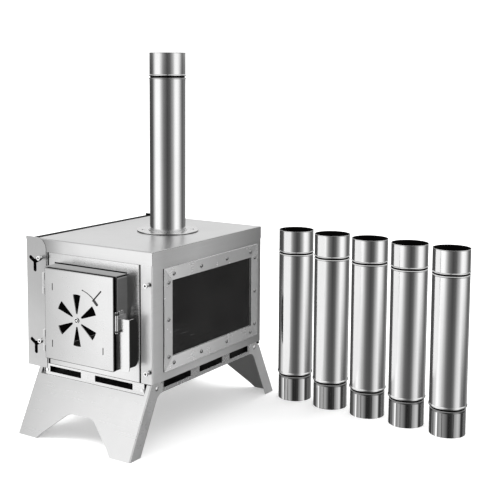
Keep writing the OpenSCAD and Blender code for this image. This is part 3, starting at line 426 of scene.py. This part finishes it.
use = {
    "top_cover": "top", "left_side_panel": "side", "right_side_panel": "side", "front_panel": "front",
    "back_panel": "back", "base_tray": "tray", "tray_rivets": "bolt", "grate": "inner", "baffle_plate": "inner",
    "door_neck": "neck", "neck_hinge_leaf": "fitting", "hinge_pin": "bolt", "latch_keeper": "fitting",
    "window_bar_top": "bar_top", "window_bar_bottom": "bar", "window_bar_front": "bar_v", "window_bar_rear": "bar_v",
    "window_glass": "glass", "window_gasket": "rope", "window_retainer": "inner", "window_screws": "screw",
    "window_nuts": "inner", "flue_collar": "collar", "flue_spigot": "inner", "hang_bolts": "hang_bolt", "leg_pivots": "bolt",
    "rear_spacers": "black", "front_leg": "leg", "rear_leg": "leg_rear", "door_pan": "door", "door_hinge_leaf": "fitting",
    "door_gasket": "rope", "door_liner": "inner", "damper_rivet": "rivet", "latch_bracket": "dark_fitting",
    "latch_pin": "bolt", "damper_disc": "disc", "damper_lever": "lever", "latch_handle": "handle",
    "side_shield": "shield", "shield_edge_strip": "black",
}
PIPES = {"flue_section_1": (12.0, 25.0)}
for i in range(5):
    PIPES["flue_section_%d" % (i + 2)] = (161.4 + 73.2 * i, 204.2 - 5.2 * i)
# painted shade: each section's bore, the grooves under its flare and top bead and its crimp creases are painted near
# black, the flare's groove band darker; painted reflection bands on the crimped end
for n, (px, py) in PIPES.items():
    pol = None if n == "flue_section_1" else (0.0462, 0.0468, 0.06)
    M[n] = steel("pipe_" + n[-1], "z", 0.80, 0.13, spread=0.02, streak=0.7, wavy=0.0, polish=pol, wear_and_highlight=0.2,
                 bore=(px, py, [(29.75, 300, 700), (29.4, 568.7, 570.5)] if n == "flue_section_1"
                       else [(29.75, 50, 400), (27.25, 39.4, 50), (27.8, 42.7, 45.5), (28.75, -1, 39.4), (29.4, 261.2, 263.0)]),
                 dark=[] if n == "flue_section_1" else [((-500, -500, 39.4), (800, 500, 42.7), 0.3)],
                 painted_facet_bands=None if n == "flue_section_1" else (px, py, 39.4))
    use[n] = n

# a piece is welded from its CAD faces, smoothed by angle and lightly rounded at its edges
clean = bpy.data.node_groups.new("clean_edges", "GeometryNodeTree")
clean.interface.new_socket("Geometry", in_out="INPUT", socket_type="NodeSocketGeometry")
clean.interface.new_socket("Geometry", in_out="OUTPUT", socket_type="NodeSocketGeometry")
ct = Tree(clean)
gi, go = ct.add("NodeGroupInput"), ct.add("NodeGroupOutput")
md = ct.add("GeometryNodeMergeByDistance")
md.inputs["Distance"].default_value = 2e-6
ra = ct.add("GeometryNodeRemoveAttribute")
ra.inputs["Name"].default_value = "custom_normal"
ss = ct.add("GeometryNodeSetShadeSmooth", domain="FACE")
ss.inputs["Shade Smooth"].default_value = True
se = ct.add("GeometryNodeSetShadeSmooth", domain="EDGE")
ea = ct.add("GeometryNodeInputMeshEdgeAngle")
ct.put(ra.inputs[0], gi.outputs[0])
ct.put(md.inputs[0], ra.outputs[0])
ct.put(ss.inputs[0], md.outputs[0])
ct.put(se.inputs[0], ss.outputs[0])
ct.put(se.inputs["Shade Smooth"], ct.math("LESS_THAN", ea.outputs["Unsigned Angle"], math.radians(28)))
ct.put(go.inputs[0], se.outputs[0])

NO_BEVEL = {"window_glass", "window_gasket", "door_gasket", "hinge_pin", "base_tray",
            "window_bar_top", "window_bar_bottom", "window_bar_front", "window_bar_rear"}
for n, o in nodes.items():
    o.data.materials.clear()
    o.data.materials.append(M[use[n]])
    g = o.modifiers.new("clean", "NODES")
    g.node_group = clean
    if n not in NO_BEVEL:
        b = o.modifiers.new("edges", "BEVEL")
        b.width = 0.00025
        b.segments = 2
        b.limit_method = "ANGLE"
        b.angle_limit = math.radians(35)
        b.harden_normals = True
        b.use_clamp_overlap = True

# what stands beside the stove is not mirrored in it, nor the body in the pipes
MIRRORED = {"door_neck", "door_pan", "latch_handle", "latch_keeper", "hang_bolts", "flue_section_1", "flue_collar", "latch_bracket", "latch_pin",
            "window_screws", "damper_rivet", "base_tray", "grate"}
for n, o in nodes.items():
    if n not in MIRRORED:
        o.visible_glossy = False

# ------------------------------------------------------------ stage
def stage_mesh(name, verts, faces, mat):
    me = bpy.data.meshes.new(name)
    me.from_pydata(verts, [], faces)
    o = bpy.data.objects.new(name, me)
    scene.collection.objects.link(o)
    me.materials.append(mat)
    return o


fm, ft, fb = new_material("floor")
fn = ft.noise(coords(ft), 3.0, 3, 0.5)
fc = ft.mix(fn, (0.86, 0.86, 0.86, 1), (0.88, 0.88, 0.88, 1))
ft.put(fb.inputs["Base Color"], fc)
fb.inputs["Roughness"].default_value = 0.9
fb.inputs["Specular IOR Level"].default_value = 0.0
fb.inputs["Emission Color"].default_value = (1, 1, 1, 1)
fb.inputs["Emission Strength"].default_value = 0.28
L = 30.0
floor = stage_mesh("floor", [(-L, -L, 0), (L, -L, 0), (L, L, 0), (-L, L, 0)], [(0, 1, 2, 3)], fm)
floor.visible_glossy = False

# a pale card between the body and the loose sections, seen only from their side and only in reflections
cm = bpy.data.materials.new("card")
cm.use_nodes = True
kt = Tree(cm.node_tree)
cm.node_tree.nodes.clear()
ke = kt.add("ShaderNodeEmission")
kn = kt.noise(coords(kt), 4.0, 2, 0.5)
kt.put(ke.inputs["Color"], kt.mix(kn, (0.97, 0.97, 0.97, 1), (1, 1, 1, 1)))
ke.inputs["Strength"].default_value = 1.1
kg = kt.add("ShaderNodeNewGeometry")
ks = kt.add("ShaderNodeMixShader")
kt.put(ks.inputs[0], kg.outputs["Backfacing"])
kt.put(ks.inputs[1], ke.outputs[0])
kt.put(ks.inputs[2], kt.add("ShaderNodeBsdfTransparent").outputs[0])
ko = kt.add("ShaderNodeOutputMaterial")
kt.put(ko.inputs["Surface"], ks.outputs[0])
card = stage_mesh("card", [tuple(P(123, -126, 2)), tuple(P(123, 160, 2)), tuple(P(123, 160, 309)), tuple(P(123, -126, 309))],
                  [(0, 1, 2, 3)], cm)
card.visible_camera = card.visible_diffuse = card.visible_shadow = False
card.visible_transmission = card.visible_volume_scatter = False

world = bpy.data.worlds.new("world")
scene.world = world
world.use_nodes = True
wb = world.node_tree.nodes["Background"]
wb.inputs["Color"].default_value = (1, 1, 1, 1)
wb.inputs["Strength"].default_value = 1.25


def area(name, loc, target, size, watts):
    d = bpy.data.lights.new(name, "AREA")
    d.shape = "DISK"
    d.size = size
    d.energy = watts
    o = bpy.data.objects.new(name, d)
    scene.collection.objects.link(o)
    o.location = loc
    o.rotation_mode = "QUATERNION"
    o.rotation_quaternion = (Vector(target) - Vector(loc)).to_track_quat("-Z", "Y")
    o.visible_glossy = False
    return o


area("key", (-1.6, -1.4, 2.6), (0.05, 0, 0.1), 1.6, 60)
area("fill", (0.6, 1.5, 2.6), (0.05, 0, 0.1), 2.4, 20)

# the studio that the metal reflects: bright panels and dark gaps on a large shell
dm = bpy.data.materials.new("studio_shell")
dm.use_nodes = True
dt = Tree(dm.node_tree)
dm.node_tree.nodes.clear()
co = coords(dt)
nv = dt.add("ShaderNodeVectorMath", operation="NORMALIZE")
dt.put(nv.inputs[0], co)
x, y, z = dt.xyz(nv.outputs[0])
phi = dt.math("ARCTAN2", x, dt.math("MULTIPLY", y, -1.0))
u = dt.math("ADD", dt.math("DIVIDE", phi, 2 * math.pi), 0.5)
theta = dt.math("MULTIPLY", dt.math("ARCSINE", z), 180 / math.pi)


def stops(pairs):
    return [((d + 180) / 360, v) for d, v in pairs]


mid = dt.ramp(u, stops([(-180, 0.25), (-150, 0.1), (-92, 0.08), (-75, 0.1), (-66, 0.35), (-55, 0.83), (-46, 1.25), (-18, 1.25), (-8, 0.76),
                        (2, 0.4), (12, 0.2), (33, 0.068), (53, 0.12), (65, 0.35), (73, 0.49), (84, 1.1), (94, 1.25),
                        (108, 1.15), (119, 0.79), (130, 0.4), (142, 0.16), (149, 0.13), (180, 0.25)]))
high = dt.ramp(u, stops([(-180, 0.9), (-125, 0.95), (-102, 0.3), (-75, 0.4), (-60, 0.8), (-50, 0.95), (-8, 1.1), (5, 0.6),
                         (28, 0.15), (50, 0.2), (70, 0.7), (80, 1.1), (125, 1.0), (140, 0.4), (160, 0.5), (172, 0.85), (180, 0.9)]))
low = dt.ramp(u, stops([(-180, 0.4), (-150, 0.1), (-100, 0.08), (-90, 0.3), (-79, 0.8), (-62, 0.85), (-55, 1.25), (-40, 1.25),
                        (-35, 1.0), (-26, 0.92), (-16, 0.58), (-5, 0.40), (3, 0.22), (16, 0.12), (40, 0.10), (53, 0.2),
                        (64, 0.6), (72, 0.9), (90, 1.03), (96, 0.72), (104, 0.35), (112, 0.15), (116, 0.25), (122, 0.12),
                        (141, 0.15), (150, 0.2), (159, 0.4), (180, 0.4)]))
c1 = dt.mix(dt.remap(theta, -16.0, -9.5), low, mid)
c2 = dt.mix(dt.remap(theta, 4.0, 8.0, smooth=True), c1, high)
c3 = dt.mix(dt.remap(theta, -44.0, -30.0, smooth=True), (0.05, 0.05, 0.05, 1), c2)
em = dt.add("ShaderNodeEmission")
dt.put(em.inputs["Color"], c3)
em.inputs["Strength"].default_value = 1.0
out = dt.add("ShaderNodeOutputMaterial")
dt.put(out.inputs["Surface"], em.outputs[0])

bm = bmesh.new()
bmesh.ops.create_uvsphere(bm, u_segments=64, v_segments=32, radius=8.0)
dme = bpy.data.meshes.new("studio_shell")
bm.to_mesh(dme)
bm.free()
dome = bpy.data.objects.new("studio_shell", dme)
scene.collection.objects.link(dome)
dme.materials.append(dm)
dome.visible_camera = dome.visible_diffuse = dome.visible_shadow = False
dome.visible_transmission = dome.visible_volume_scatter = False
